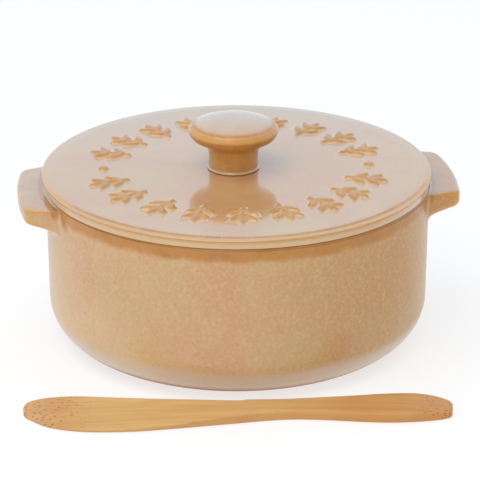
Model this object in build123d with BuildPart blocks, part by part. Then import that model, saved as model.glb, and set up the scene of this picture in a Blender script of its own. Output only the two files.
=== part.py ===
"""Round lidded stoneware baking dish with two lug handles, and its loose bamboo spreader.

Frame: millimetres, +Z up, origin at the centre of the foot, on the surface the dish stands on.
The two lug handles lie on the X axis, and the spreader lies on the same surface in front, at -Y.
"""

import os
from math import cos, radians, sin

from build123d import *

# Pot: a thrown body of revolution about Z
RIM_Z = 66.4  # top of the rim, where the lid sits
RIM_RADIUS = 79.7  # outside of the wall at the rim
WALL_FOOT_RADIUS = 79.1  # outside of the wall just above the rounded heel
HEEL_RADIUS = 16.0  # round of the outside bottom corner
WALL_THICKNESS = 5.0
OVERCUT = 1.0  # how far a cut runs past the face it opens through
FLOOR_Z = 6.5  # inside floor
INNER_HEEL_RADIUS = 11.0
RIM_ROUND = 1.2
FOOT_RECESS_RADIUS = 56.0
FOOT_RECESS_DEPTH = 1.2

# Lug handles: slabs luted to the wall just under the rim
LUGS = (
    # name, side of the X axis, outermost point from the pot's axis
    ("lug_handle_left", -1, 91.2),
    ("lug_handle_right", 1, 91.8),
)
LUG_TOP_Z = 64.7  # top face where it leaves the wall
LUG_DROOP = 1.4  # how much lower the top face is at the outer edge
LUG_BOW = 2.2  # how far the outer edge bows out
LUG_ROOT_X = 72.0  # inner end of the slab, inside the wall
LUG_ROOT_HALF = 30.6  # half-length there
LUG_END_HALF = 23.2  # half-length at the outer edge
LUG_MIDDLE_Y = 1.2  # the lugs were luted on a little behind the X axis
LUG_CORNER = 6.0  # round of the outer corners, in plan
LUG_END_THICKNESS = 5.6
LUG_ROOT_THICKNESS = 11.6
LUG_EDGE = 2.0  # round of the long edges

# Lid: a flat disc that overhangs the rim a little, with a locating flange beneath
LID_RADIUS = 80.1
LID_THICKNESS = 4.2
LID_SHOULDER = 5.0  # width of the sloping outer band
LID_SHOULDER_DROP = 0.6
LID_EDGE_ROUND = 1.2
FLANGE_CLEARANCE = 1.4  # radial play of the flange in the pot's mouth
FLANGE_WIDTH = 3.2
FLANGE_DEPTH = 5.0
FLANGE_ROUND = 0.8

# Knob: a mushroom on a short neck, set by hand a little off the lid's axis
KNOB_X = -1.25
KNOB_Y = 0.2
NECK_FOOT_RADIUS = 10.3
NECK_WAIST_RADIUS = 10.1
NECK_WAIST_HEIGHT = 5.2
KNOB_HEAD_RADIUS = 18.45
KNOB_EQUATOR = 16.3  # height of the widest ring above the lid
KNOB_UNDERSIDE = ((10.9, 9.1), (13.8, 11.6), (17.1, 13.5))  # (radius, height) from neck to rim
KNOB_CROWN = ((16.7, 18.5), (12.2, 20.1))  # (radius, height) from rim to the middle of the top
KNOB_HEIGHT = 21.6
COLLAR_RADIUS = 11.1  # bead of slip around the foot of the neck
COLLAR_HEIGHT = 1.4
COLLAR_BULGE = 0.6  # share of the bead's height at which it leans in

# Applied relief: a ring of leaf sprigs in two arcs, with a round boss between them each side
RING_PLACES = 20  # equal places around the ring, two of which are the bosses
RING_TURN = -4.5  # how far the lid is turned from the lugs, degrees
RING_RADIUS = 54.8
RELIEF_HEIGHT = 1.3
RELIEF_ROUND = 0.35
BOSS_RADIUS = 2.6
STEM_LENGTH = 18.4
STEM_WIDTH = 2.6
LEAFLET_LENGTH = 8.0
LEAFLET_WIDTH = 3.8
LEAFLET_ANGLE = 48.0  # between a side leaflet and the stem
LEAFLET_STATIONS = (-5.4, 0.6)  # where the side pairs leave the stem
TIP_LEAFLET_LENGTH = 8.8

# Spreader: one piece of bamboo, flat underneath, blade to the left
SPREADER_TURN = -6.95  # degrees about Z
SPREADER_STANDOFF = 87.6  # from the pot's axis to the spreader's long centre line
SPREADER_FAR_EDGE = (
    (-80.6, 9.6),
    (-62, 12),
    (-30, 8.2),
    (0, 6.2),
    (20, 6.7),
    (45, 9.4),
    (68, 12.3),
    (79.5, 10.2),
)
SPREADER_NEAR_EDGE = (
    (80, -4.2),
    (62, -7.0),
    (45, -6.0),
    (22, -4.2),
    (0, -7.6),
    (-25, -12.4),
    (-52, -15.0),
    (-70, -12.0),
    (-79.4, -5.2),
)
SPREADER_TIP = (-83.4, 2.5)
SPREADER_END = ((84.6, 5.8), (84.6, 0.4))
SPREADER_TOP = ((-84, 2.2), (-50, 3.2), (0, 4.3), (30, 4.5), (62, 4.3), (85, 3.2))  # (along, height)
SPREADER_BLANK_THICKNESS = 5.0  # of the blank that the outline and the top are cut from
SPREADER_BLANK_HALF_WIDTH = 40.0
SPREADER_EDGE = 0.8  # round of the long edges
SPREADER_LONG_EDGE = 20.0  # edges longer than this are rounded

LID_TOP_Z = RIM_Z + LID_THICKNESS
INNER_RIM_RADIUS = RIM_RADIUS - WALL_THICKNESS
INNER_WALL_FOOT_RADIUS = WALL_FOOT_RADIUS - WALL_THICKNESS

os.makedirs("parts", exist_ok=True)


def write(piece, name):
    """Label a finished piece and write it as its own file."""
    piece.part.label = name
    export_step(piece.part, f"parts/{name}.step")


def pot_outside():
    """Half section of the solid of revolution inside the pot's outer surface."""
    heel_start = (WALL_FOOT_RADIUS - HEEL_RADIUS, 0)
    heel_middle = (
        WALL_FOOT_RADIUS - HEEL_RADIUS * (1 - sin(radians(45))),
        HEEL_RADIUS * (1 - cos(radians(45))),
    )
    heel_end = (WALL_FOOT_RADIUS, HEEL_RADIUS)
    with BuildSketch(Plane.XZ) as section:
        with BuildLine():
            Line((0, 0), heel_start)
            ThreePointArc(heel_start, heel_middle, heel_end)
            Polyline(heel_end, (RIM_RADIUS, RIM_Z), (0, RIM_Z), (0, 0))
        make_face()
    return section.sketch


def pot_inside():
    """Half section of the hollow, open at the rim."""
    with BuildSketch(Plane.XZ) as section:
        with BuildLine():
            Polyline(
                (0, FLOOR_Z),
                (INNER_WALL_FOOT_RADIUS, FLOOR_Z),
                (INNER_RIM_RADIUS, RIM_Z + OVERCUT),
                (0, RIM_Z + OVERCUT),
                close=True,
            )
        make_face()
        heel_corner = section.vertices().group_by(Axis.Y)[0].sort_by(Axis.X)[-1]
        fillet(heel_corner, radius=INNER_HEEL_RADIUS)
    return section.sketch


with BuildPart() as pot_body:
    add(pot_outside())
    revolve(axis=Axis.Z)
    add(pot_inside())
    revolve(axis=Axis.Z, mode=Mode.SUBTRACT)
    rim_edges = pot_body.edges().filter_by(GeomType.CIRCLE).group_by(Axis.Z)[-1]
    fillet(rim_edges, radius=RIM_ROUND)
    with BuildSketch(Plane.XY):
        Circle(FOOT_RECESS_RADIUS)
    extrude(amount=FOOT_RECESS_DEPTH, mode=Mode.SUBTRACT)
write(pot_body, "pot_body")


def lug_handle(side, reach):
    """A lug on the +X wall (side 1) or the -X wall (side -1), cut to the wall it is luted to."""
    end_x = reach - LUG_BOW
    end_top = LUG_TOP_Z - LUG_DROOP
    root_bottom = LUG_TOP_Z - LUG_ROOT_THICKNESS
    with BuildPart() as lug:
        with BuildSketch(Plane.XZ):
            with BuildLine():
                Polyline(
                    (LUG_ROOT_X, LUG_TOP_Z),
                    (RIM_RADIUS, LUG_TOP_Z),
                    (reach, end_top),
                    (reach, end_top - LUG_END_THICKNESS),
                    (RIM_RADIUS, root_bottom),
                    (LUG_ROOT_X, root_bottom),
                    close=True,
                )
            make_face()
        extrude(amount=LUG_ROOT_HALF + LUG_MIDDLE_Y, both=True)
        with BuildSketch(Plane((0, LUG_MIDDLE_Y, root_bottom))) as plan:
            with BuildLine():
                ThreePointArc((end_x, LUG_END_HALF), (reach, 0), (end_x, -LUG_END_HALF))
                Polyline(
                    (end_x, -LUG_END_HALF),
                    (LUG_ROOT_X, -LUG_ROOT_HALF),
                    (LUG_ROOT_X, LUG_ROOT_HALF),
                    (end_x, LUG_END_HALF),
                )
            make_face()
            fillet(plan.vertices().group_by(Axis.X)[-1], radius=LUG_CORNER)
        extrude(amount=LUG_ROOT_THICKNESS, mode=Mode.INTERSECT)
        outer_edges = lug.edges().filter_by(lambda edge: edge.center().X > RIM_RADIUS + LUG_EDGE)
        fillet(outer_edges, radius=LUG_EDGE)
        add(pot_outside())
        revolve(axis=Axis.Z, mode=Mode.SUBTRACT)
        if side < 0:
            mirror(about=Plane.YZ, mode=Mode.REPLACE)
    return lug


for lug_name, *lug_shape in LUGS:
    write(lug_handle(*lug_shape), lug_name)


with BuildPart() as lid_plate:
    flange_outer = INNER_RIM_RADIUS - FLANGE_CLEARANCE
    with BuildSketch(Plane.XZ) as lid_section:
        with BuildLine():
            Polyline(
                (0, RIM_Z),
                (flange_outer - FLANGE_WIDTH, RIM_Z),
                (flange_outer - FLANGE_WIDTH, RIM_Z - FLANGE_DEPTH),
                (flange_outer, RIM_Z - FLANGE_DEPTH),
                (flange_outer, RIM_Z),
                (LID_RADIUS, RIM_Z),
                (LID_RADIUS, LID_TOP_Z - LID_SHOULDER_DROP),
                (LID_RADIUS - LID_SHOULDER, LID_TOP_Z),
                (0, LID_TOP_Z),
                close=True,
            )
        make_face()
        rim_corners = lid_section.vertices().group_by(Axis.X)[-1]
        fillet(rim_corners, radius=LID_EDGE_ROUND)
        flange_corners = lid_section.vertices().group_by(Axis.Y)[0]
        fillet(flange_corners, radius=FLANGE_ROUND)
    revolve(axis=Axis.Z)
write(lid_plate, "lid_plate")


def on_knob_axis():
    """Plane through the knob's own axis, for its half sections."""
    return Plane(origin=(KNOB_X, KNOB_Y, LID_TOP_Z), x_dir=(1, 0, 0), z_dir=(0, -1, 0))


def knob_axis():
    return Axis((KNOB_X, KNOB_Y, 0), (0, 0, 1))


with BuildPart() as lid_knob:
    with BuildSketch(on_knob_axis()):
        with BuildLine():
            Line((0, 0), (NECK_FOOT_RADIUS, 0))
            Line((NECK_FOOT_RADIUS, 0), (NECK_FOOT_RADIUS, COLLAR_HEIGHT))
            neck = Spline(
                (NECK_FOOT_RADIUS, COLLAR_HEIGHT),
                (NECK_WAIST_RADIUS, NECK_WAIST_HEIGHT),
                *KNOB_UNDERSIDE,
                (KNOB_HEAD_RADIUS, KNOB_EQUATOR),
                tangents=((0, 1), (0, 1)),
            )
            Spline(
                neck @ 1,
                *KNOB_CROWN,
                (0, KNOB_HEIGHT),
                tangents=((0, 1), (-1, 0)),
            )
            Line((0, KNOB_HEIGHT), (0, 0))
        make_face()
    revolve(axis=knob_axis())
write(lid_knob, "lid_knob")


with BuildPart() as knob_collar:
    with BuildSketch(on_knob_axis()):
        with BuildLine():
            Polyline(
                (NECK_FOOT_RADIUS, COLLAR_HEIGHT),
                (NECK_FOOT_RADIUS, 0),
                (COLLAR_RADIUS, 0),
            )
            ThreePointArc(
                (COLLAR_RADIUS, 0),
                (COLLAR_RADIUS - 0.1, COLLAR_HEIGHT * COLLAR_BULGE),
                (NECK_FOOT_RADIUS, COLLAR_HEIGHT),
            )
        make_face()
    revolve(axis=knob_axis())
write(knob_collar, "knob_collar")


def relief_plane(place):
    """Plane on the lid at one place of the ring, its X axis pointing outward."""
    angle = RING_TURN + place * 360 / RING_PLACES
    outward = (cos(radians(angle)), sin(radians(angle)), 0)
    origin = (RING_RADIUS * outward[0], RING_RADIUS * outward[1], LID_TOP_Z)
    return Plane(origin=origin, x_dir=outward, z_dir=(0, 0, 1))


def leaf_sprig(place):
    """Stem, tip leaflet and two pairs of side leaflets, as one raised sprig."""
    reach = LEAFLET_LENGTH / 2
    with BuildPart() as sprig:
        with BuildSketch(relief_plane(place)):
            SlotOverall(STEM_LENGTH, STEM_WIDTH)
            with Locations((STEM_LENGTH / 2 - TIP_LEAFLET_LENGTH / 2, 0)):
                Ellipse(TIP_LEAFLET_LENGTH / 2, LEAFLET_WIDTH / 2)
            for station in LEAFLET_STATIONS:
                for turn in (-LEAFLET_ANGLE, LEAFLET_ANGLE):
                    middle = (
                        station + reach * cos(radians(turn)),
                        reach * sin(radians(turn)),
                    )
                    with Locations(middle):
                        Ellipse(reach, LEAFLET_WIDTH / 2, rotation=turn)
        extrude(amount=RELIEF_HEIGHT)
    return sprig


def boss(place):
    """A low round boss with a softened edge."""
    with BuildPart() as dot:
        with BuildSketch(relief_plane(place)):
            Circle(BOSS_RADIUS)
        extrude(amount=RELIEF_HEIGHT)
        fillet(dot.edges().group_by(Axis.Z)[-1], radius=RELIEF_ROUND)
    return dot


boss_places = {0: "boss_right", RING_PLACES // 2: "boss_left"}
sprig_number = 0
for ring_place in range(RING_PLACES):
    if ring_place in boss_places:
        write(boss(ring_place), boss_places[ring_place])
    else:
        sprig_number += 1
        write(leaf_sprig(ring_place), f"leaf_sprig_{sprig_number:02d}")


def spreader_plane():
    """Plane on the table at the middle of the spreader, its X axis along the blade."""
    turn = radians(SPREADER_TURN)
    along = (cos(turn), sin(turn), 0)
    middle = (SPREADER_STANDOFF * sin(turn), -SPREADER_STANDOFF * cos(turn), 0)
    return Plane(origin=middle, x_dir=along, z_dir=(0, 0, 1))


with BuildPart() as spreader:
    with BuildSketch(spreader_plane()):
        with BuildLine():
            far_edge = Spline(*SPREADER_FAR_EDGE)
            near_edge = Spline(*SPREADER_NEAR_EDGE)
            Spline(
                near_edge @ 1,
                SPREADER_TIP,
                far_edge @ 0,
                tangents=(near_edge % 1, far_edge % 0),
            )
            Polyline(far_edge @ 1, *SPREADER_END, near_edge @ 0)
        make_face()
    extrude(amount=SPREADER_BLANK_THICKNESS)
    side_plane = Plane(
        origin=spreader_plane().origin,
        x_dir=spreader_plane().x_dir,
        z_dir=spreader_plane().y_dir * -1,
    )
    with BuildSketch(side_plane):
        with BuildLine():
            blade_top = Spline(*SPREADER_TOP)
            Polyline(blade_top @ 1, (SPREADER_TOP[-1][0], 0), (SPREADER_TOP[0][0], 0), blade_top @ 0)
        make_face()
    extrude(amount=SPREADER_BLANK_HALF_WIDTH, both=True, mode=Mode.INTERSECT)
    long_edges = spreader.edges().filter_by(lambda edge: edge.length > SPREADER_LONG_EDGE)
    fillet(long_edges, radius=SPREADER_EDGE)
write(spreader, "spreader")
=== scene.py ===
"""Looks for a lidded stoneware baker with a bamboo spreader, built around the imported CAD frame.

The pot with its lugs, and the lid with its leaf sprigs, are each one skin of glaze in life, so
each is one mesh here that stands for several CAD nodes. Metres throughout, unless a comment says
millimetres; MM turns millimetres into metres.
"""

import math

import bpy
import numpy as np
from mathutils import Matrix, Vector


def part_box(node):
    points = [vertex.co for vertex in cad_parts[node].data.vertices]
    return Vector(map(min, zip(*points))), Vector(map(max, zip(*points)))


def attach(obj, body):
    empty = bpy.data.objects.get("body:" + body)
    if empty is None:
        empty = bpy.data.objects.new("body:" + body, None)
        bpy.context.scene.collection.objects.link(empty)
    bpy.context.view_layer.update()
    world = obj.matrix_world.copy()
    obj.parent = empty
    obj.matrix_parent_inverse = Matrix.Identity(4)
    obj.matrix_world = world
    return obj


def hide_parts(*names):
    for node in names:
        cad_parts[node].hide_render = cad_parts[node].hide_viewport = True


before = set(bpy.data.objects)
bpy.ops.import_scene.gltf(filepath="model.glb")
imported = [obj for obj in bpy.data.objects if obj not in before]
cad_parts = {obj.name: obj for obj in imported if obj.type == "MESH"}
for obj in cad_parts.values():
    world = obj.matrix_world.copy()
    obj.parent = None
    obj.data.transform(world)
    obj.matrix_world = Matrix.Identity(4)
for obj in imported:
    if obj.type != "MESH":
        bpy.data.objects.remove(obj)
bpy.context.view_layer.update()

MM = 0.001
rng = np.random.default_rng(7)

# ---------------------------------------------------------------- sizes, read from the frame
_, POT_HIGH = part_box("pot_body")
LEFT_LOW, LEFT_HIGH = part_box("lug_handle_left")
_, RIGHT_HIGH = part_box("lug_handle_right")
LID_LOW, LID_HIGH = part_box("lid_plate")
KNOB_LOW, KNOB_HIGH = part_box("lid_knob")
COLLAR_LOW, COLLAR_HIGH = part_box("knob_collar")
BOSS_LOW, BOSS_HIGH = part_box("boss_right")
SPREADER_LOW, SPREADER_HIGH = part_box("spreader")

RIM_Z = POT_HIGH.z
LID_TOP = LID_HIGH.z
LID_RADIUS = LID_HIGH.x
RIM_RADIUS = POT_HIGH.x
KNOB_CENTRE = (KNOB_LOW + KNOB_HIGH) / 2
BOSS_CENTRE = (BOSS_LOW + BOSS_HIGH) / 2
SPREADER_CENTRE = (SPREADER_LOW + SPREADER_HIGH) / 2
RELIEF_HEIGHT = BOSS_HIGH.z - LID_TOP


# ---------------------------------------------------------------- mesh helpers
TINY = 1e-12  # keeps a division off zero


def smoothstep(low, high, value):
    """0 below low, 1 above high, and smooth between them. low may be the larger."""
    t = np.clip((value - low) / (high - low), 0.0, 1.0)
    return t * t * (3.0 - 2.0 * t)


def straight(start, end, spacing):
    """Points after start and up to end, about spacing apart."""
    count = max(1, int(math.ceil(np.linalg.norm(end - start) / spacing)))
    return [start + (end - start) * k / count for k in range(1, count + 1)]


def rounded_path(corners, arc_step=11.0):
    """Points along a polyline with rounded corners.

    Each corner is (across, up, radius, spacing): the round at the corner, and how far apart the
    points are on the straight that leads to it. Both are idle in the first corner, and the radius
    in the last. A round has a point about every arc_step degrees.
    """
    spots = [np.array(corner[:2], float) for corner in corners]
    path = [spots[0]]
    for before, here, after, corner in zip(spots, spots[1:], spots[2:], corners[1:]):
        radius, spacing = corner[2:]
        back = (before - here) / np.linalg.norm(before - here)
        ahead = (after - here) / np.linalg.norm(after - here)
        inner = math.acos(np.clip(back @ ahead, -1, 1))
        arc = [here]
        if radius > 0:
            middle = (back + ahead) / np.linalg.norm(back + ahead)
            centre = here + middle * radius / math.sin(inner / 2)
            first = here + back * radius / math.tan(inner / 2) - centre
            last = here + ahead * radius / math.tan(inner / 2) - centre
            turn = math.pi - inner
            count = max(3, int(math.ceil(turn / math.radians(arc_step))))
            arc = [
                centre
                + (first * math.sin(turn * (1 - k / count)) + last * math.sin(turn * k / count))
                / math.sin(turn)
                for k in range(count + 1)
            ]
        path += straight(path[-1], arc[0], spacing) + arc[1:]
    path += straight(path[-1], spots[-1], corners[-1][3])
    return np.array(path)


def around(grid):
    """Change from the column before each point to the column after it. Columns wrap round."""
    return np.roll(grid, -1, axis=1) - np.roll(grid, 1, axis=1)


def grid_normals(grid):
    """Unit normals of a grid of points whose columns wrap round."""
    normal = np.cross(around(grid), np.gradient(grid, axis=0))
    return normal / np.maximum(np.linalg.norm(normal, axis=2, keepdims=True), TINY)


def bending(grid):
    """Convex (+) or hollow (-) bend at each point of a grid, summed over both ways, per metre."""
    normal = grid_normals(grid)
    total = np.zeros(grid.shape[:2])
    steps = (
        (around(grid), around(normal)),
        (np.gradient(grid, axis=0), np.gradient(normal, axis=0)),
    )
    for move, turn in steps:
        total += (move * turn).sum(2) / np.maximum((move * move).sum(2), TINY)
    return total


def soften(values, times):
    """Values on a grid with wrapped columns, evened out with their neighbours."""
    for _ in range(times):
        padded = np.pad(values, ((1, 1), (0, 0)), mode="edge")
        values = (
            2 * values
            + padded[2:]
            + padded[:-2]
            + np.roll(values, 1, axis=1)
            + np.roll(values, -1, axis=1)
        ) / 6
    return values


def mesh_piece(name, points, faces, paints):
    """A smooth-shaded mesh in the scene. paints are named numbers or vectors for each point."""
    mesh = bpy.data.meshes.new(name)
    mesh.from_pydata(points.tolist(), [], faces)
    for paint, values in paints.items():
        kind, field = ("FLOAT_VECTOR", "vector") if values.ndim > 1 else ("FLOAT", "value")
        layer = mesh.attributes.new(paint, kind, "POINT")
        layer.data.foreach_set(field, values.astype(np.float32).ravel())
    mesh.shade_smooth()
    piece = bpy.data.objects.new(name, mesh)
    bpy.context.scene.collection.objects.link(piece)
    return piece


def closed_skin(name, grid, paints):
    """A closed mesh from a grid whose first and last rows are single points on the axis.

    Columns go anticlockwise seen from above, and rows go outward from underneath. paints are named
    values per grid point, kept on the mesh for its material.
    """
    rows, columns = grid.shape[:2]

    def flat(values):
        between = values[1:-1].reshape(-1, *values.shape[2:])
        return np.concatenate([values[:1, 0], between, values[-1:, 0]])

    points = flat(grid)
    row = np.arange(rows - 3)[:, None] * columns + 1
    here = np.arange(columns)[None, :]
    right = (here + 1) % columns
    above = row + columns
    quads = np.stack([row + here, row + right, above + right, above + here], axis=2)
    top = 1 + (rows - 3) * columns
    last = len(points) - 1
    first_fan = [(0, 1 + (k + 1) % columns, 1 + k) for k in range(columns)]
    last_fan = [(last, top + k, top + (k + 1) % columns) for k in range(columns)]
    faces = first_fan + quads.reshape(-1, 4).tolist() + last_fan
    return mesh_piece(name, points, faces, {paint: flat(kept) for paint, kept in paints.items()})


def turned(profile, angles, centre=(0.0, 0.0)):
    """A surface of revolution: profile rows of (radius, height) turned about a vertical axis."""
    radius, height = profile[:, 0][:, None], profile[:, 1][:, None]
    x = centre[0] + radius * np.cos(angles)[None, :]
    y = centre[1] + radius * np.sin(angles)[None, :]
    return np.stack([x, y, np.broadcast_to(height, x.shape)], axis=2)


def ripple(angles, across, waves, size):
    """Slow, gentle unevenness of hand-finished clay: a few sine waves of random phase."""
    total = np.zeros(np.broadcast(angles, across).shape)
    for around, along in waves:
        phase = rng.uniform(0, 2 * math.pi, 2)
        total += np.sin(around * angles + phase[0]) * np.cos(along * across + phase[1])
    return size * total / len(waves)


def even_angles(count):
    """Angles of count columns, evenly spaced round a full turn."""
    return np.arange(count) * 2 * math.pi / count


# ---------------------------------------------------------------- the pot and its lugs
FLOOR_TOP = 6.5 * MM
WALL = 5.0 * MM
HEEL_RADIUS = 17.0 * MM
WALL_FOOT_RADIUS = 79.1 * MM
FOOT_RECESS_RADIUS = 56.0 * MM
FOOT_RECESS = 1.2 * MM
POT_WAVES = ((2, 0.4), (3, 1.1), (5, 1.7), (9, 0.6))  # round the pot, down the wall
POT_UNEVEN = 0.14 * MM
LEFT_TRIM = 0.8 * MM  # the pot in the photo is a little out of round on its left
LUG_TOP = LEFT_HIGH.z
LUG_ROOT = LEFT_LOW.z
LUG_REACH = RIGHT_HIGH.x
LUG_REACHES = ((-1, -LEFT_LOW.x), (1, RIGHT_HIGH.x))  # side of the X axis, outermost point
LUG_DROOP = 0.5 * MM
LUG_BOW = 2.2 * MM
LUG_BOW_ROUND = 40.0 * MM
LUG_BOW_SHARES = (-0.66, -0.33, 0.0, 0.33, 0.66)  # of the half width, along the end
LUG_ROOT_X = 72.0 * MM
LUG_ROOT_HALF = 28.8 * MM
LUG_END_HALF = 23.6 * MM
LUG_MIDDLE_Y = (LEFT_LOW.y + LEFT_HIGH.y) / 2
LUG_CORNER = 4.8 * MM
LUG_BASE = 6.0 * MM  # how far below its root a lug's fillet starts
LUG_CLEAR = 0.9 * MM  # how far above its top face the wall takes over again
LUG_END_THICKNESS = 6.2 * MM
LUG_EDGE = 1.7 * MM
LUG_SOFT = 0.8 * MM  # how gradually a lug's side leaves the wall
LUG_FADE = math.radians(5.0)
LUG_ROOT_BEARING = math.radians(22.5)  # where a lug's side meets the wall, from the X axis
LUG_ROOT_SPREAD = 0.035  # radians on either side of it where the wall is painted honey
LUG_ROOT_DEPTH = 4 * MM


def wall_radius(z):
    """Outside radius of the pot's wall at a height."""
    share = np.clip((z - HEEL_RADIUS) / (RIM_Z - HEEL_RADIUS), 0, 1)
    return WALL_FOOT_RADIUS + (RIM_RADIUS - WALL_FOOT_RADIUS) * share


def lug_plan(angles):
    """How far the lugs stand out from the wall along each angle about the pot's axis."""
    total = np.zeros(len(angles))
    for side, outermost in LUG_REACHES:
        bow = [
            (outermost - LUG_BOW * share**2, LUG_END_HALF * share, LUG_BOW_ROUND, 1 * MM)
            for share in LUG_BOW_SHARES
        ]
        outline = rounded_path(
            [
                (LUG_ROOT_X, -LUG_ROOT_HALF, 0, 1),
                (outermost - LUG_BOW, -LUG_END_HALF, LUG_CORNER, 1 * MM),
                *bow,
                (outermost - LUG_BOW, LUG_END_HALF, LUG_CORNER, 1 * MM),
                (LUG_ROOT_X, LUG_ROOT_HALF, 0, 1 * MM),
            ],
            arc_step=3.0,
        )
        outline[:, 1] += LUG_MIDDLE_Y
        bearing = np.arctan2(outline[:, 1], outline[:, 0])
        reach = np.hypot(outline[:, 0], outline[:, 1])
        turned_to = np.arctan2(np.sin(angles), np.cos(angles) * side)
        stand = np.interp(turned_to, bearing, reach, left=0, right=0) - RIM_RADIUS
        softened = LUG_SOFT * np.log1p(np.exp(stand / LUG_SOFT))
        total += np.where(stand > -6 * LUG_SOFT, softened, 0.0)
    return total


def pot_angles():
    """Columns round the pot, closer together where the sides of the lugs are."""
    spans = ((0, 9, 10), (9, 25, 44), (25, 90, 66))  # from and to, in degrees, and how many
    parts = [np.linspace(start, end, count, endpoint=False) for start, end, count in spans]
    quarter = np.radians(np.concatenate(parts))
    half = np.concatenate([-quarter[:0:-1], quarter])
    return np.concatenate([half, [math.pi / 2], half + math.pi, [3 * math.pi / 2]])


def pot_grid():
    """Foot, wall, lugs, rim and inside of the pot, from under its middle to its floor."""
    angles = pot_angles()
    below = LUG_ROOT - LUG_BASE
    above = LUG_TOP + LUG_CLEAR
    rim_top = RIM_Z - 0.05 * MM
    inside = RIM_RADIUS - WALL
    low = rounded_path(
        [
            (0, FOOT_RECESS, 0, 1),
            (FOOT_RECESS_RADIUS, FOOT_RECESS, 0.8 * MM, 8 * MM),
            (FOOT_RECESS_RADIUS + 0.6 * MM, 0, 0.5 * MM, 1 * MM),
            (WALL_FOOT_RADIUS, 0, HEEL_RADIUS, 2.5 * MM),
            (wall_radius(below), below, 0, 1.6 * MM),
        ],
        arc_step=6.0,
    )
    reach = LUG_REACH - RIM_RADIUS
    end_top = LUG_TOP - LUG_DROOP
    lug = rounded_path(
        [
            (0, below, 0, 1),
            (0, LUG_ROOT, 4.0 * MM, 1.2 * MM),
            (reach, end_top - LUG_END_THICKNESS, 2.0 * MM, 1.1 * MM),
            (reach, end_top, LUG_EDGE, 0.6 * MM),
            (0, LUG_TOP, 0.9 * MM, 0.9 * MM),
            (0, above, 0, 0.6 * MM),
        ],
        arc_step=14.0,
    )[1:]
    high = rounded_path(
        [
            (wall_radius(above), above, 0, 1),
            (RIM_RADIUS, rim_top, 1.2 * MM, 1 * MM),
            (inside, rim_top, 1.1 * MM, 1 * MM),
            (inside - 0.7 * MM, FLOOR_TOP, 11 * MM, 2.4 * MM),
            (0, FLOOR_TOP, 0, 5 * MM),
        ],
        arc_step=9.0,
    )[1:]
    stand = lug_plan(angles)
    edge = np.abs((angles + math.pi / 2) % math.pi - math.pi / 2)
    start = edge[stand > 0.05 * MM].max()
    shaped = smoothstep(start + LUG_FADE, start, edge)
    plain = np.linspace(below, above, len(lug) + 1)[1:]
    lug_z = plain[:, None] + (lug[:, 1] - plain)[:, None] * shaped[None, :]
    lug_r = wall_radius(lug_z) + lug[:, 0][:, None] * (stand / reach)[None, :]
    columns = np.ones(len(angles))
    radius = np.concatenate([low[:, :1] * columns, lug_r, high[:, :1] * columns])
    height = np.concatenate([low[:, 1:] * columns, lug_z, high[:, 1:] * columns])
    on_wall = smoothstep(4 * MM, 20 * MM, height) * (radius > 40 * MM)
    uneven = ripple(angles[None, :], height / (30 * MM), POT_WAVES, POT_UNEVEN)
    radius = radius + on_wall * uneven
    left = smoothstep(0.2, -0.95, np.cos(angles))[None, :]
    outer = (radius > inside + 0.2 * MM) | (height < FLOOR_TOP - 0.5 * MM)
    radius -= LEFT_TRIM * left * smoothstep(0, 6 * MM, height) * outer
    return np.stack([radius * np.cos(angles), radius * np.sin(angles), height], axis=2)


def pot_paints(grid):
    """Where the glaze runs thin or pools, with painted light on the left, painted shade on the
    right, a painted floor reflection on the heel and a painted contact shadow at the foot.
    """
    bend = bending(grid) * MM
    normal = grid_normals(grid)
    x, y, height = grid[:, :, 0], grid[:, :, 1], grid[:, :, 2]
    radius = np.hypot(x, y)
    turn = x / RIM_RADIUS
    outside = smoothstep(RIM_RADIUS - WALL * 0.5, RIM_RADIUS - WALL * 0.3, radius)
    thin = soften(smoothstep(0.10, 0.42, bend), 2)
    pool = soften(smoothstep(-0.06, -0.35, bend), 3)
    collar = smoothstep(RIM_Z - 8.0 * MM, RIM_Z - 2.5 * MM, height) * outside
    side = np.arctan2(np.abs(y), np.abs(x))
    beside = (side - LUG_ROOT_BEARING) / LUG_ROOT_SPREAD
    beneath = (height - LUG_TOP + LUG_ROOT_DEPTH) / LUG_ROOT_DEPTH
    root = np.exp(-(beside**2) - beneath**2)
    low = smoothstep(40 * MM, 10 * MM, height)
    outer = radius > WALL_FOOT_RADIUS - HEEL_RADIUS
    # painted light: the pot paler towards its left side, most near the foot
    cream = smoothstep(0.2, -0.9, turn) * (0.3 + 0.6 * low)
    on_heel = smoothstep(15 * MM, 10.5 * MM, height) * smoothstep(2 * MM, 6 * MM, height)
    off_lugs = 1 - 0.6 * (radius > RIM_RADIUS + 2 * MM)
    return {
        "thin": thin,
        "pool": pool,
        "collar": np.maximum(collar * off_lugs, root * outside),
        "cream": np.clip(cream, 0, 1) * outside,
        # painted reflection of the white floor: the heel paler
        "painted_reflection": 0.72 * on_heel * outer,
        # painted contact shadow: dark amber along the foot where it meets the floor
        "painted_shade": 0.85 * smoothstep(6.0 * MM, 2.6 * MM, height) * outer,
        # painted shade: the right side of the pot darker and browner, less so near the foot
        "painted_side_shade": smoothstep(-0.1, 0.95, turn) * (1 - 0.6 * low) * outside,
        "level": smoothstep(0.3, 0.8, normal[:, :, 2]),
    }


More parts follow.
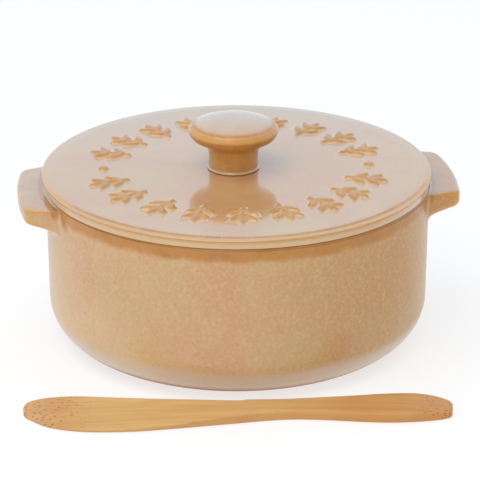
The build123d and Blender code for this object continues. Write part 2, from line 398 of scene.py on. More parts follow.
# ---------------------------------------------------------------- the lid and its relief
RING_RADIUS = math.hypot(BOSS_CENTRE.x, BOSS_CENTRE.y)
RING_TURN = math.atan2(BOSS_CENTRE.y, BOSS_CENTRE.x)
RING_PLACES = 2 + sum(name.startswith("leaf_sprig_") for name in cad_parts)
RING_OUTER, RING_INNER = 65.4, 42.6  # mm; the rows between them are close together
SPRIG_LEAVES = ((-5.4, 8.2), (0.6, 8.0))  # mm: where each pair of leaflets starts, and its reach
SPRIG_SPREAD = math.radians(48)
BOSS_RADIUS = 2.5 * MM
FLANGE_GAP = 1.4 * MM  # between the flange and the pot's mouth
FLANGE_WIDTH = 3.2 * MM
SHOULDER_WIDTH = 5.0 * MM
LID_WAVES = ((1, 0.8), (2, 1.3), (3, 1.9), (4, 0.7))  # round the lid, out from its middle
LID_SAG = 0.09 * MM
LID_BEAD = 1.6 * MM  # how far below the lid's top its rolled edge ends


def stroke(across, along, start, end, half_width, pointed):
    """Signed distance to a leaflet or stem from start to end: negative inside it."""
    run = np.array(end) - np.array(start)
    length = math.hypot(*run)
    run = run / length
    s = (across - start[0]) * run[0] + (along - start[1]) * run[1]
    off = (across - start[0]) * -run[1] + (along - start[1]) * run[0]
    share = np.clip(s / length, 0, 1)
    width = half_width * (np.sin(math.pi * share**0.8) ** 0.6 if pointed else 1.0)
    beyond = np.maximum(np.maximum(-s, s - length), 0)
    return np.hypot(off, beyond) - width


def sprig_distance(across, along):
    """Signed distance to a sprig: a stem, a tip leaflet and two pairs of side leaflets."""
    parts = [
        stroke(across, along, (0, -7.9 * MM), (0, 3 * MM), 1.35 * MM, False),
        stroke(across, along, (0, 0.2 * MM), (0, 9.2 * MM), 2.0 * MM, True),
    ]
    for root, reach in SPRIG_LEAVES:
        for side in (-1, 1):
            turn = SPRIG_SPREAD * side
            tip = (math.sin(turn) * reach * MM, (root + math.cos(turn) * reach) * MM)
            parts.append(stroke(across, along, (0, root * MM), tip, 1.95 * MM, True))
    return np.minimum.reduce(parts)


def relief(x, y):
    """Height of the raised ring over the lid's top at points on it."""
    bearing = np.arctan2(y, x) - RING_TURN
    step = 2 * math.pi / RING_PLACES
    place = np.round(bearing / step).astype(int)
    off = bearing - place * step
    place = place % RING_PLACES
    radius = np.hypot(x, y)
    tilt = np.radians(rng.uniform(-3.5, 3.5, RING_PLACES))[place]
    lean = rng.uniform(-0.5, 0.5, RING_PLACES)[place] * MM
    across = radius * np.sin(off) - lean
    along = radius * np.cos(off) - RING_RADIUS
    across, along = (
        across * np.cos(tilt) - along * np.sin(tilt),
        across * np.sin(tilt) + along * np.cos(tilt),
    )
    sprig = sprig_distance(across, along)
    boss = np.hypot(across, along) - BOSS_RADIUS
    is_boss = (place == 0) | (place == RING_PLACES // 2)
    distance = np.where(is_boss, boss, sprig)
    return smoothstep(0.55 * MM, -1.25 * MM, distance)


def lid_grid():
    """The lid from under its middle to its top, and how far each point of it is raised."""
    angles = even_angles(600)
    under = LID_LOW.z
    seat = RIM_Z
    flange_out = RIM_RADIUS - WALL - FLANGE_GAP
    flange_in = flange_out - FLANGE_WIDTH
    shoulder = LID_RADIUS - SHOULDER_WIDTH
    bottom = rounded_path(
        [
            (0, seat, 0, 1),
            (flange_in, seat, 1.0 * MM, 9 * MM),
            (flange_in, under, 0.8 * MM, 1.5 * MM),
            (flange_out, under, 0.8 * MM, 1.5 * MM),
            (flange_out, seat, 0.6 * MM, 1.5 * MM),
            (LID_RADIUS - 0.35 * MM, seat, 0.7 * MM, 2 * MM),
            (LID_RADIUS - 0.55 * MM, seat + 2.4 * MM, 0.6 * MM, 0.5 * MM),
            (LID_RADIUS - 0.8 * MM, seat + 2.65 * MM, 0.2 * MM, 0.3 * MM),
            (LID_RADIUS + 0.15 * MM, seat + 2.8 * MM, 0.6 * MM, 0.3 * MM),
            (LID_RADIUS + 0.1 * MM, LID_TOP - 0.45 * MM, 0.7 * MM, 0.3 * MM),
            (LID_RADIUS - 1.7 * MM, LID_TOP - 0.25 * MM, 0.6 * MM, 0.3 * MM),
            (shoulder, LID_TOP, 6 * MM, 0.7 * MM),
            (66 * MM, LID_TOP, 0, 1.4 * MM),
        ],
        arc_step=20.0,
    )
    bottom[:, 0] = np.minimum(bottom[:, 0], LID_RADIUS - 0.02 * MM)
    ring = np.linspace(RING_OUTER, RING_INNER, 58) * MM
    centre = np.linspace(RING_INNER, 0, 15)[1:] * MM
    flat = np.concatenate([ring, centre])
    profile = np.concatenate([bottom, np.stack([flat, np.full(len(flat), LID_TOP)], axis=1)])
    grid = turned(profile, angles)
    raised = np.zeros(grid.shape[:2])
    top_rows = slice(len(bottom), len(profile))
    raised[top_rows] = relief(grid[top_rows, :, 0], grid[top_rows, :, 1])
    grid[:, :, 2] += raised * (RELIEF_HEIGHT - 0.1 * MM)
    radius = np.hypot(grid[:, :, 0], grid[:, :, 1])
    off_edge = smoothstep(LID_RADIUS, LID_RADIUS - 12 * MM, radius)
    on_top = (grid[:, :, 2] > LID_TOP - 1 * MM) * off_edge
    sag = ripple(angles[None, :], radius / (20 * MM), LID_WAVES, LID_SAG)
    grid[:, :, 2] += on_top * (sag - LID_SAG) * smoothstep(0, 8 * MM, radius)
    return grid, raised


def lid_paints(grid, raised):
    """Honey on the relief and the rolled edge, pale on the band under it; at the front the gold
    edge is painted wider with a painted dark reflection line inside it, and the top is painted
    paler towards the back as a painted reflection.
    """
    bend = bending(grid) * MM
    thin = soften(smoothstep(0.10, 0.45, bend), 1)
    pool = soften(smoothstep(-0.08, -0.4, bend), 1)
    crest = smoothstep(0.12, 0.6, raised)
    height = grid[:, :, 2]
    radius = np.hypot(grid[:, :, 0], grid[:, :, 1])
    depth = grid[:, :, 1] / LID_RADIUS
    # painted reflection at the front: the gold edge painted wider, with a dark line inside it
    front = smoothstep(0.1, -0.8, depth)
    inner = LID_RADIUS - (1.5 + 2.9 * front) * MM
    rim = smoothstep(inner, inner + 0.9 * MM, radius)
    dark_reflection_line = 0.85 * np.exp(-(((radius - inner - 1.3 * MM) / (1.4 * MM)) ** 2)) * front
    bead_end = LID_TOP - LID_BEAD
    bead = rim * smoothstep(bead_end, bead_end + 0.2 * MM, height)
    band = rim * smoothstep(bead_end, bead_end - 0.3 * MM, height)
    thin = np.maximum(thin * (1 - band * 0.8), np.maximum(crest, bead))
    return {
        "thin": thin,
        "pool": pool * (1 - bead),
        "collar": np.maximum(0.5 * crest, dark_reflection_line * rim),
        "cream": 0.5 * band,
        # painted reflection: the top paler towards the back, off the relief
        "painted_reflection": 0.3 * smoothstep(-0.2, 1.0, depth) * (1 - crest),
        "level": 1 - 0.85 * np.maximum(crest, dark_reflection_line * rim),
    }


# ---------------------------------------------------------------- the knob and its bead of slip
def smooth_through(points, count):
    """A Catmull-Rom curve through given points, with count points to each span."""
    points = np.array(points, float)
    ends = np.vstack([2 * points[0] - points[1], points, 2 * points[-1] - points[-2]])
    path = []
    for a, b, c, d in zip(ends, ends[1:], ends[2:], ends[3:]):
        t = np.linspace(0, 1, count, endpoint=False)[:, None]
        square = (2 * a - 5 * b + 4 * c - d) * t**2
        cube = (3 * b - a - 3 * c + d) * t**3
        path.append(0.5 * (2 * b + (c - a) * t + square + cube))
    return np.vstack([*path, ends[-2:-1]])


def knob_grid():
    """The mushroom knob, from a foot sunk a little into the lid to its dome."""
    height = KNOB_HIGH.z - LID_TOP
    widest = (KNOB_HIGH.x - KNOB_LOW.x) / 2
    sides = smooth_through(  # (radius, height above the lid) in mm
        [
            (10.3, 0.0),
            (10.25, 1.4),
            (10.1, 5.2),
            (10.9, 9.1),
            (13.8, 11.6),
            (17.1, 13.5),
            (widest / MM, 16.2),
            (17.95, 17.7),
            (16.8, 18.75),
            (12.2, 20.45),
            (6.0, height / MM - 0.22),
            (0.0, height / MM - 0.05),
        ],
        8,
    )
    sides[:, 0] = np.clip(sides[:, 0], 0, widest / MM)
    foot = [(radius, -0.2) for radius in (0.0, 5.0, 10.0)]
    profile = np.vstack([*foot, sides]) * MM
    profile[-1, 0] = 0
    profile[:, 1] += LID_TOP
    return turned(profile, even_angles(160), (KNOB_CENTRE.x, KNOB_CENTRE.y))


def knob_paints(grid):
    """Glaze amber on the neck, deepened under the cap by painted shade, a painted dark line on the
    lip, a painted gold highlight where it is widest, and a painted reflection that makes the dome
    pale. Heights are in mm.
    """
    bend = bending(grid) * MM
    height = (grid[:, :, 2] - LID_TOP) / MM
    thin = soften(smoothstep(0.10, 0.30, bend), 3)
    # painted shade: the amber deepens under the cap
    under = smoothstep(9.0, 11.5, height)
    # painted dark line on the lip, above the painted highlight
    lip = smoothstep(18.3, 18.8, height) * smoothstep(19.7, 19.0, height)
    amber_and_shade = (0.42 + 0.58 * under) * smoothstep(16.6, 15.4, height) + 0.75 * lip
    return {
        # painted highlight: gold round the widest part of the cap, between the amber above and
        # below
        "thin": np.maximum(thin, smoothstep(19.4, 18.6, height)),
        "collar": np.clip(amber_and_shade, 0.3 * under, 1),
        # painted reflection: the dome pale
        "painted_reflection": 0.42 * smoothstep(19.2, 20.0, height),
        "level": 0.3 + 0.7 * smoothstep(18.6, 19.6, height),
    }


COLLAR_WAVES = ((4, 0.3), (7, 0.5), (11, 0.2))
COLLAR_UNEVEN = 0.12 * MM


def collar_grid():
    """The uneven bead of slip round the knob's foot, as a closed disc that the knob hides."""
    outer = (COLLAR_HIGH.x - COLLAR_LOW.x) / 2 - 0.25 * MM
    sunk = LID_TOP - 0.15 * MM
    angles = even_angles(160)
    profile = rounded_path(
        [
            (0, sunk, 0, 1),
            (outer - 0.25 * MM, sunk, 0.2 * MM, 3 * MM),
            (outer, LID_TOP + 0.45 * MM, 0.4 * MM, 0.3 * MM),
            (outer - 0.55 * MM, COLLAR_HIGH.z - 0.1 * MM, 0.35 * MM, 0.3 * MM),
            (outer - 1.1 * MM, COLLAR_HIGH.z - 0.25 * MM, 0, 0.3 * MM),
            (0, COLLAR_HIGH.z - 0.3 * MM, 0, 3 * MM),
        ]
    )
    grid = turned(profile, angles)
    radius = np.hypot(grid[:, :, 0], grid[:, :, 1])
    lumps = ripple(angles[None, :], radius / (5 * MM), COLLAR_WAVES, COLLAR_UNEVEN)
    keep = 1 + (lumps - COLLAR_UNEVEN) / outer * (radius > outer - 0.7 * MM)
    grid[:, :, 0] = grid[:, :, 0] * keep + KNOB_CENTRE.x
    grid[:, :, 1] = grid[:, :, 1] * keep + KNOB_CENTRE.y
    return grid


# ---------------------------------------------------------------- the spreader
# Its outlines and thicknesses are (distance along it, value) in mm, from the wide blade to the
# narrow end of the handle.
SPREADER_TURN = math.radians(-6.95)
SPREADER_SHIFT = (-1.0825, -2.5822)  # mm, from the middle of its box to its own origin
SPREADER_START, SPREADER_END = -83.4, 84.5
SPREADER_FAR = (
    (-83.4, 2.6), (-82.6, 7.2), (-80.6, 9.5), (-76, 11.2), (-70, 12), (-62, 12), (-46, 10.1),
    (-30, 8.2), (-14, 6.9), (0, 6.2), (10, 6.3), (20, 6.7), (32, 7.9), (45, 9.4), (57, 11.2),
    (68, 12.2), (74, 11.8), (79.5, 10.1), (83.4, 7.2), (84.5, 3.6),
)
SPREADER_NEAR = (
    (-83.4, 2.4), (-82.4, -2.0), (-79.4, -5.2), (-75, -9.2), (-70, -11.9), (-62, -14.1),
    (-52, -14.9), (-38, -14.3), (-25, -12.3), (-12, -9.9), (0, -7.6), (11, -5.5), (22, -4.2),
    (34, -4.7), (45, -5.9), (54, -6.8), (62, -6.9), (72, -6.0), (80, -4.2), (83.6, -1.8),
    (84.5, 3.4),
)
SPREADER_NEAR_THICK = (
    (-84, 0.9), (-60, 1.0), (-45, 1.3), (-25, 2.1), (-17, 2.8), (-6, 3.5), (3, 3.9), (20, 4.2),
    (64, 4.1), (85, 3.0),
)
SPREADER_FAR_THICK = (
    (-84, 1.8), (-70, 2.6), (-45, 3.2), (-20, 3.8), (2, 3.9), (8, 4.3), (62, 4.2), (85, 3.0),
)
SPREADER_FAR_ROUND = 1.0  # mm
SPREADER_LOW_ROUND = 0.7  # mm
SPREADER_CROWN = 0.18  # mm, how far its top swells between its edges
ROUND_POINTS = 5  # on each of the four rounds of a section
FLAT_POINTS = 9  # across a section's underside; its top has twice as many


def edge_line(points, stations):
    """Values at stations along the blade of a smooth curve through listed (x, value) points."""
    curve = smooth_through(points, 12)
    return np.interp(stations, curve[:, 0], curve[:, 1])


def spreader_section(half, thick_near, thick_far, soft):
    """One cross-section ring, anticlockwise seen from the blade's tip end: (across, up) rows."""
    ring = []
    near = min(soft, half * 0.6, thick_near * 0.5)
    far = min(SPREADER_FAR_ROUND, half * 0.6, thick_far * 0.5)
    low = min(SPREADER_LOW_ROUND, half * 0.6, thick_near * 0.4)
    turns = np.linspace(0, math.pi / 2, ROUND_POINTS)
    for angle in turns:
        ring.append((half - low + low * math.sin(angle), low - low * math.cos(angle)))
    for angle in turns:
        ring.append((half - far + far * math.cos(angle), thick_far - far + far * math.sin(angle)))
    top_start, top_end = half - far, -half + near
    for share in np.linspace(0, 1, 2 * FLAT_POINTS + 2)[1:-1]:
        across = top_start + (top_end - top_start) * share
        level = thick_far + (thick_near - thick_far) * share**1.3
        crown = SPREADER_CROWN * min(1.0, half / 8) * math.sin(math.pi * share)
        ring.append((across, level + crown))
    for angle in turns:
        across = -half + near - near * math.sin(angle)
        ring.append((across, thick_near - near + near * math.cos(angle)))
    for angle in turns:
        ring.append((-half + low - low * math.cos(angle), low - low * math.sin(angle)))
    for share in np.linspace(0, 1, FLAT_POINTS + 2)[1:-1]:
        ring.append((-half + low + (2 * half - 2 * low) * share, 0.0))
    return np.array(ring)


def section_edges(columns):
    """1 on the sides of a section's ring and 0 across its top, in the order of spreader_section."""
    flats = columns - 4 * ROUND_POINTS
    tops = flats * 2 // 3
    side = np.ones(ROUND_POINTS)
    fall = np.linspace(1, 0, ROUND_POINTS)
    bottom = np.full(flats - tops, 0.4)
    return np.concatenate([side, fall, np.zeros(tops), fall[::-1], side, bottom])


def spreader_piece():
    """A mesh of rings along the blade, closed by a small flat at each end."""
    half_span = (SPREADER_END - SPREADER_START) / 2
    middle = (SPREADER_END + SPREADER_START) / 2
    stations = middle - half_span * np.cos(np.linspace(0.035, math.pi - 0.06, 230))
    far = edge_line(SPREADER_FAR, stations)
    near = edge_line(SPREADER_NEAR, stations)
    thick_near = edge_line(SPREADER_NEAR_THICK, stations)
    thick_far = edge_line(SPREADER_FAR_THICK, stations)
    near_soft = 0.8 + 1.2 * smoothstep(5, 32, stations)
    rings = []
    for k, x in enumerate(stations):
        half = max((far[k] - near[k]) / 2, 0.25)
        ring = spreader_section(half, thick_near[k], thick_far[k], near_soft[k])
        ring[:, 0] += (far[k] + near[k]) / 2
        rings.append(np.column_stack([np.full(len(ring), x), ring]))
    local = np.array(rings)
    rows, columns = local.shape[:2]
    points = local.reshape(-1, 3)
    faces = []
    for i in range(rows - 1):
        for j in range(columns):
            here, right = i * columns + j, i * columns + (j + 1) % columns
            faces.append((here, right, right + columns, here + columns))
    faces.append(tuple(range(columns - 1, -1, -1)))
    faces.append(tuple((rows - 1) * columns + j for j in range(columns)))
    cos, sin = math.cos(SPREADER_TURN), math.sin(SPREADER_TURN)
    turned_flat = points[:, :2] @ np.array([[cos, -sin], [sin, cos]]).T
    place = np.array(SPREADER_CENTRE.xy) / MM + SPREADER_SHIFT
    placed = np.column_stack([turned_flat + place, points[:, 2]]) * MM
    paints = {"grain": points * MM, "edge": np.tile(section_edges(columns), rows)}
    return mesh_piece("bamboo_spreader", placed, faces, paints)


# ---------------------------------------------------------------- materials
class Nodes:
    """Short forms for building a material's node tree."""

    def __init__(self, name):
        self.material = bpy.data.materials.new(name)
        self.material.use_nodes = True
        self.tree = self.material.node_tree
        self.tree.nodes.clear()
        output = self.tree.nodes.new("ShaderNodeOutputMaterial")
        self.shader = self.tree.nodes.new("ShaderNodeBsdfPrincipled")
        self.link(self.shader.outputs[0], output.inputs["Surface"])

    def link(self, source, target):
        self.tree.links.new(source, target)

    def feed(self, socket, value):
        if isinstance(value, bpy.types.NodeSocket):
            self.link(value, socket)
        else:
            socket.default_value = value

    def node(self, kind, inputs=(), **settings):
        made = self.tree.nodes.new(kind)
        for key, value in settings.items():
            setattr(made, key, value)
        for key, value in dict(inputs).items():
            self.feed(made.inputs[key], value)
        return made

    def position(self):
        return self.node("ShaderNodeTexCoord").outputs["Object"]

    def attribute(self, name, output="Fac"):
        return self.node("ShaderNodeAttribute", attribute_name=name).outputs[output]

    def scaled(self, vector, scale):
        made = self.node("ShaderNodeMapping", {"Vector": vector, "Scale": scale})
        return made.outputs[0]

    def noise(self, vector, scale, detail=3.0, rough=0.55, warp=0.0):
        inputs = {"Vector": vector, "Scale": scale, "Detail": detail}
        inputs.update({"Roughness": rough, "Distortion": warp})
        return self.node("ShaderNodeTexNoise", inputs).outputs["Fac"]

    def cells(self, vector, scale, feature="F1"):
        made = self.node("ShaderNodeTexVoronoi", {"Vector": vector, "Scale": scale})
        made.feature = feature
        return made.outputs["Distance"]

    def ramp(self, value, low, high, out_low=0.0, out_high=1.0):
        inputs = {0: value, 1: low, 2: high, 3: out_low, 4: out_high}
        made = self.node("ShaderNodeMapRange", inputs)
        made.interpolation_type = "SMOOTHSTEP"
        return made.outputs[0]

    def maths(self, kind, first, second):
        made = self.tree.nodes.new("ShaderNodeMath")
        made.operation = kind
        self.feed(made.inputs[0], first)
        self.feed(made.inputs[1], second)
        return made.outputs[0]

    def times(self, first, second):
        return self.maths("MULTIPLY", first, second)

    def plus(self, first, second):
        return self.maths("ADD", first, second)

    def minus(self, first, second):
        return self.maths("SUBTRACT", first, second)

    def larger(self, first, second):
        return self.maths("MAXIMUM", first, second)

    def mix(self, share, first, second):
        made = self.tree.nodes.new("ShaderNodeMix")
        made.data_type = "RGBA"
        self.feed(made.inputs[0], share)
        self.feed(made.inputs[6], first)
        self.feed(made.inputs[7], second)
        return made.outputs[2]

    def bump(self, height, distance, strength, normal=None):
        inputs = {"Height": height, "Distance": distance, "Strength": strength}
        made = self.node("ShaderNodeBump", inputs)
        if normal is not None:
            self.link(normal, made.inputs["Normal"])
        return made.outputs["Normal"]

    def principled(self, **values):
        for key, value in values.items():
            self.feed(self.shader.inputs[key.replace("_", " ")], value)


def shade(red, green, blue):
    """A linear colour from the 0 to 255 numbers that a screen shows."""

    def linear(v):
        v = v / 255
        return v / 12.92 if v <= 0.04045 else ((v + 0.055) / 1.055) ** 2.4

    return (linear(red), linear(green), linear(blue), 1.0)


def reactive_glaze(name, fleck=1.0, tan=(199, 163, 118), gloss=1.0):
    """Glossy cream-over-honey glaze: gold and honey where it runs thin, pale where it pools.

    The mesh's paints say where: thin, pool, collar, cream (on the pot, painted light on its left
    side), painted_reflection (painted pale reflections), painted_shade (painted dark shade),
    painted_side_shade (painted shade on the pot's right side) and level. fleck is how strong the
    speckle is, tan the body's colour, and gloss how much clear coat upright faces have.
    """
    n = Nodes(name)
    where = n.position()
    body = shade(*tan)
    rosy = shade(tan[0] - 1, tan[1] - 9, tan[2] - 3)
    olive = shade(tan[0] - 6, tan[1] + 2, tan[2] - 3)
    cream = shade(214, 186, 144)
    gold = shade(214, 160, 84)
    honey = shade(184, 124, 50)
    amber_and_shade = shade(150, 86, 34)
    side_shade_colour = shade(190, 140, 78)
    speck = shade(222, 192, 150)
    painted_reflection = shade(206, 190, 172)
    level = n.attribute("level")
    blotch = n.noise(where, 46.0, 2.0, 0.5, 0.6)
    drift = n.noise(where, 19.0, 2.0, 0.5)
    colour = n.mix(n.ramp(blotch, 0.35, 0.65), rosy, body)
    colour = n.mix(n.ramp(drift, 0.42, 0.68, 0.0, 0.6), colour, olive)
    uneven = n.ramp(n.noise(where, 140.0, 3.0, 0.6), 0.3, 0.7, -0.28, 0.28)
    wander = n.ramp(n.noise(where, 60.0, 2.0, 0.5), 0.3, 0.7, 0.7, 1.15)
    # cream: on the pot, painted light on its left side; on the lid's band and the slip bead, paler
    # glaze
    colour = n.mix(n.times(n.times(n.attribute("cream"), wander), 0.85), colour, cream)
    # painted shade on the pot's right side
    colour = n.mix(n.times(n.attribute("painted_side_shade"), 0.85), colour, side_shade_colour)
    grain = n.noise(where, 820.0, 3.0, 0.62)
    cells = n.cells(where, 760.0, "SMOOTH_F1")
    speckle = n.plus(n.times(grain, 0.75), n.times(cells, 0.4))
    calm = n.times(n.minus(1.0, n.times(level, 0.5)), fleck)
    pale = n.times(n.ramp(speckle, 0.50, 0.76, 0.0, 0.30), calm)
    dark = n.times(n.ramp(speckle, 0.50, 0.32, 0.0, 0.26), calm)
    colour = n.mix(pale, colour, speck)
    colour = n.mix(dark, colour, honey)
    thin = n.times(n.attribute("thin"), n.plus(1.0, uneven))
    colour = n.mix(n.ramp(thin, 0.1, 0.8, 0.0, 0.85), colour, gold)
    band = n.times(n.attribute("collar"), n.plus(1.0, uneven))
    colour = n.mix(n.ramp(band, 0.1, 0.9, 0.0, 0.85), colour, honey)
    runs = n.times(n.attribute("collar"), n.ramp(n.noise(where, 90.0), 0.45, 0.7))
    colour = n.mix(n.times(runs, 0.35), colour, amber_and_shade)
    colour = n.mix(n.ramp(n.attribute("pool"), 0.1, 0.9, 0.0, 0.5), colour, cream)
    # painted reflection: pale where the painted_reflection paint is
    colour = n.mix(n.attribute("painted_reflection"), colour, painted_reflection)
    # painted shade: dark amber where the painted_shade paint is
    colour = n.mix(n.attribute("painted_shade"), colour, amber_and_shade)
    peel = n.noise(where, 210.0, 2.0, 0.5)
    normal = n.bump(peel, 0.05 * MM, 0.5)
    normal = n.bump(speckle, 0.03 * MM, 0.4 * fleck, normal)
    # no coat and less specular on the painted shade, so it stays dark
    unshaded = n.minus(1.0, n.attribute("painted_shade"))
    coat = n.times(n.plus(gloss, n.times(level, 1.0 - gloss)), unshaded)
    rough = n.ramp(grain, 0.3, 0.7, 0.34, 0.46)
    n.principled(
        Base_Color=colour,
        Roughness=n.minus(rough, n.times(coat, 0.2)),
        IOR=1.52,
        Specular_IOR_Level=n.times(n.plus(0.2, n.times(level, 0.3)), unshaded),
        Coat_Weight=coat,
        Coat_Roughness=n.minus(0.17, n.times(coat, 0.12)),
        Coat_IOR=1.68,
        Normal=normal,
        Coat_Normal=n.bump(peel, 0.04 * MM, 0.35),
    )
    return n.material


def bare_clay():
    """Unglazed buff stoneware under the foot."""
    n = Nodes("bare_clay")
    where = n.position()
    grit = n.noise(where, 900.0, 4.0, 0.7)
    spots = n.ramp(n.cells(where, 260.0), 0.16, 0.08)
    colour = n.mix(grit, shade(196, 172, 144), shade(218, 198, 172))
    colour = n.mix(n.times(spots, 0.5), colour, shade(132, 96, 66))
    n.principled(Base_Color=colour, Roughness=0.85, IOR=1.45, Normal=n.bump(grit, 0.1 * MM, 0.6))
    return n.material


def bamboo():
    """Straight-grained bamboo: long pale and brown fibres, with dark fibre ends at both ends."""
    n = Nodes("bamboo_wood")
    grain = n.attribute("grain", "Vector")
    fine = n.noise(n.scaled(grain, (14.0, 900.0, 900.0)), 1.0, 4.0, 0.62)
    broad = n.noise(n.scaled(grain, (7.0, 210.0, 210.0)), 1.0, 3.0, 0.55)
    patch = n.noise(grain, 34.0, 2.0, 0.5)
    along = n.node("ShaderNodeSeparateXYZ", {"Vector": grain}).outputs["X"]
    handle = n.ramp(along, 0.005, 0.060)
    light = n.mix(handle, shade(227, 188, 126), shade(215, 161, 95))
    dark = n.mix(handle, shade(214, 168, 106), shade(199, 141, 77))
    colour = n.mix(n.ramp(broad, 0.32, 0.68), dark, light)
    colour = n.mix(n.ramp(fine, 0.52, 0.74, 0.0, 0.55), colour, shade(182, 124, 64))
    colour = n.mix(n.ramp(fine, 0.46, 0.28, 0.0, 0.4), colour, shade(232, 190, 130))
    colour = n.mix(n.ramp(patch, 0.5, 0.72, 0.0, 0.4), colour, shade(206, 142, 78))
    colour = n.mix(n.times(n.attribute("edge"), 0.6), colour, shade(188, 130, 72))
    ends = n.larger(n.ramp(along, -0.052, -0.070), n.ramp(along, 0.066, 0.080))
    dots = n.cells(n.scaled(grain, (420.0, 900.0, 900.0)), 1.0)
    dark_dots = n.times(n.ramp(dots, 0.30, 0.18), ends)
    colour = n.mix(n.times(ends, 0.25), colour, shade(206, 140, 80))
    colour = n.mix(n.times(dark_dots, 0.75), colour, shade(120, 70, 32))
    normal = n.bump(fine, 0.08 * MM, 0.6)
    n.principled(
        Base_Color=colour, Roughness=n.ramp(broad, 0.3, 0.7, 0.42, 0.55), IOR=1.5, Normal=normal
    )
    return n.material


FLOOR_GLOW = 0.70


def floor_material():
    """A white sweep lit from beneath as well as from above, so that shadows on it stay faint."""
    n = Nodes("studio_floor")
    soft = n.noise(n.position(), 3.0, 2.0, 0.5)
    colour = n.mix(soft, (0.30, 0.30, 0.30, 1), (0.32, 0.32, 0.32, 1))
    n.principled(
        Base_Color=colour,
        Roughness=0.7,
        IOR=1.1,
        Emission_Color=(1.0, 1.0, 1.0, 1.0),
        Emission_Strength=FLOOR_GLOW,
    )
    return n.material


# ---------------------------------------------------------------- building the pieces
WIPED = 1.5 * MM  # how far up and out the bare clay under the foot reaches


def give(piece, body, materials, nodes):
    """Gives a piece its materials, the CAD nodes it stands for and its body."""
    for material in materials:
        piece.data.materials.append(material)
    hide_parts(*nodes)
    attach(piece, body)


def build_pot(glaze, clay):
    grid = pot_grid()
    pot = closed_skin("glazed_pot", grid, pot_paints(grid))
    members = ["pot_body", "lug_handle_left", "lug_handle_right"]
    give(pot, "pot", [glaze, clay], members)
    wiped_radius = WALL_FOOT_RADIUS - HEEL_RADIUS + WIPED
    for face in pot.data.polygons:
        centre = face.center
        if centre.z < WIPED and math.hypot(centre.x, centre.y) < wiped_radius:
            face.material_index = 1


def build_lid(glaze):
    grid, raised = lid_grid()
    lid = closed_skin("glazed_lid", grid, lid_paints(grid, raised))
    members = [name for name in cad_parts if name.startswith(("leaf_sprig_", "boss_"))]
    give(lid, "lid", [glaze], ["lid_plate", *sorted(members)])


def build_knob(glaze):
    """The knob and the bead of slip round its foot."""
    grid = knob_grid()
    knob = closed_skin("glazed_knob", grid, knob_paints(grid))
    give(knob, "lid", [glaze], ["lid_knob"])
    grid = collar_grid()
    plain = np.zeros(grid.shape[:2])
    # painted shade in the crease where the slip bead meets the lid
    crease = smoothstep(LID_TOP + 0.5 * MM, LID_TOP + 0.1 * MM, grid[:, :, 2])
    paints = {"pool": plain + 0.9, "cream": plain + 0.8, "painted_shade": crease, "level": plain + 1}
    collar = closed_skin("slip_bead", grid, paints)
    give(collar, "lid", [glaze], ["knob_collar"])


def build_spreader(wood):
    piece = spreader_piece()
    give(piece, "spreader", [wood], ["spreader"])


# ---------------------------------------------------------------- the studio
FLOOR_RADIUS = 6.0
FLOOR_DROP = 0.2 * MM  # keeps the floor off the undersides that stand on it


def floor():
    bpy.ops.mesh.primitive_circle_add(
        vertices=96, radius=FLOOR_RADIUS, fill_type="NGON", location=(0, 0, -FLOOR_DROP)
    )
    ground = bpy.context.object
    ground.name = "studio_floor"
    ground.data.materials.append(floor_material())


LAMP_AIM = (0, 0, 0.04)
LAMP_POWER = 5.0
ROOM_SPAN = (-0.8, 0.5)  # from the front of the room to its back, along Y
ROOM_FRONT = (0.52, 0.48, 0.44, 1)
ROOM_BACK = (0.76, 0.90, 1.08, 1)


def look_from(thing, direction):
    thing.rotation_euler = direction.to_track_quat("-Z", "Y").to_euler()


def softbox(name, place, size, colour):
    """A rectangular lamp that looks at the middle of the pot."""
    data = bpy.data.lights.new(name, "AREA")
    data.shape = "RECTANGLE"
    data.size, data.size_y = size
    data.energy = LAMP_POWER
    data.color = colour
    lamp = bpy.data.objects.new(name, data)
    lamp.location = place
    look_from(lamp, Vector(LAMP_AIM) - Vector(place))
    bpy.context.scene.collection.objects.link(lamp)


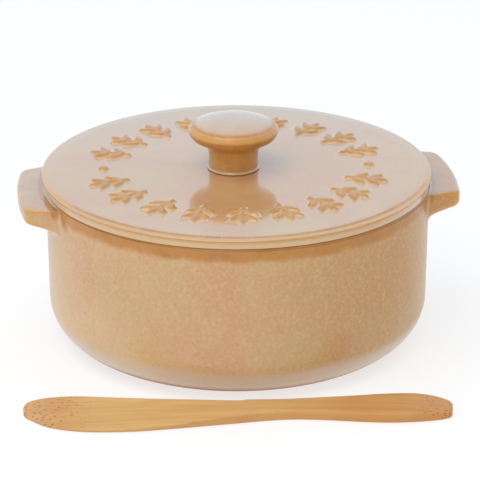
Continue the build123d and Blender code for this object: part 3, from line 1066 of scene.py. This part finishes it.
def surroundings():
    """A white studio, dimmer on the side where the photographer stands. It looks plain white."""
    world = bpy.data.worlds.new("studio")
    bpy.context.scene.world = world
    world.use_nodes = True
    tree = world.node_tree
    tree.nodes.clear()
    coord = tree.nodes.new("ShaderNodeTexCoord")
    split = tree.nodes.new("ShaderNodeSeparateXYZ")
    tree.links.new(coord.outputs["Generated"], split.inputs[0])
    ramp = tree.nodes.new("ShaderNodeMapRange")
    ramp.interpolation_type = "SMOOTHSTEP"
    tree.links.new(split.outputs["Y"], ramp.inputs[0])
    for socket, value in zip(ramp.inputs[1:3], ROOM_SPAN):
        socket.default_value = value
    tint = tree.nodes.new("ShaderNodeMix")
    tint.data_type = "RGBA"
    tint.inputs[6].default_value = ROOM_FRONT
    tint.inputs[7].default_value = ROOM_BACK
    tree.links.new(ramp.outputs[0], tint.inputs[0])
    room = tree.nodes.new("ShaderNodeBackground")
    tree.links.new(tint.outputs[2], room.inputs["Color"])
    seen = tree.nodes.new("ShaderNodeBackground")
    seen.inputs["Color"].default_value = (1, 1, 1, 1)
    path = tree.nodes.new("ShaderNodeLightPath")
    choose = tree.nodes.new("ShaderNodeMixShader")
    tree.links.new(path.outputs["Is Camera Ray"], choose.inputs[0])
    tree.links.new(room.outputs[0], choose.inputs[1])
    tree.links.new(seen.outputs[0], choose.inputs[2])
    output = tree.nodes.new("ShaderNodeOutputWorld")
    tree.links.new(choose.outputs[0], output.inputs["Surface"])


VIEW_BEARING = math.radians(-6.95)
VIEW_LIFT = math.radians(22.34)
VIEW_DISTANCE = 1.0
VIEW_PIVOT_Z = 35 * MM
VIEW_AIM_RIGHT = 1.43  # mm
VIEW_AIM_Z = 38.1 * MM
LENS, SENSOR = 179.4, 36.0  # mm, as a camera states them


def camera():
    """The viewpoint: a long lens, a metre off, 22 degrees above the table."""
    cos, sin = math.cos(VIEW_BEARING), math.sin(VIEW_BEARING)
    back = Vector((sin * math.cos(VIEW_LIFT), -cos * math.cos(VIEW_LIFT), math.sin(VIEW_LIFT)))
    right = Vector((cos, sin, 0))
    data = bpy.data.cameras.new("camera")
    data.lens, data.sensor_width = LENS, SENSOR
    data.clip_end = 50
    view = bpy.data.objects.new("camera", data)
    view.location = Vector((0, 0, VIEW_PIVOT_Z)) + back * VIEW_DISTANCE
    look_from(view, right * VIEW_AIM_RIGHT * MM + Vector((0, 0, VIEW_AIM_Z)) - view.location)
    bpy.context.scene.collection.objects.link(view)
    bpy.context.scene.camera = view


# ---------------------------------------------------------------- the scene
glaze = reactive_glaze("wall_glaze", gloss=0.3)
lid_glaze = reactive_glaze("lid_glaze", fleck=0.55, tan=(206, 166, 114), gloss=0.35)
build_pot(glaze, bare_clay())
build_lid(lid_glaze)
build_knob(lid_glaze)
build_spreader(bamboo())
floor()
surroundings()
softbox("overhead", (-0.35, -0.35, 1.15), (0.9, 0.9), (1.0, 0.93, 0.84))
softbox("left_front", (-0.7, -1.3, 0.70), (2.0, 0.5), (1.0, 0.90, 0.78))
camera()
bpy.context.scene.view_settings.view_transform = "Standard"
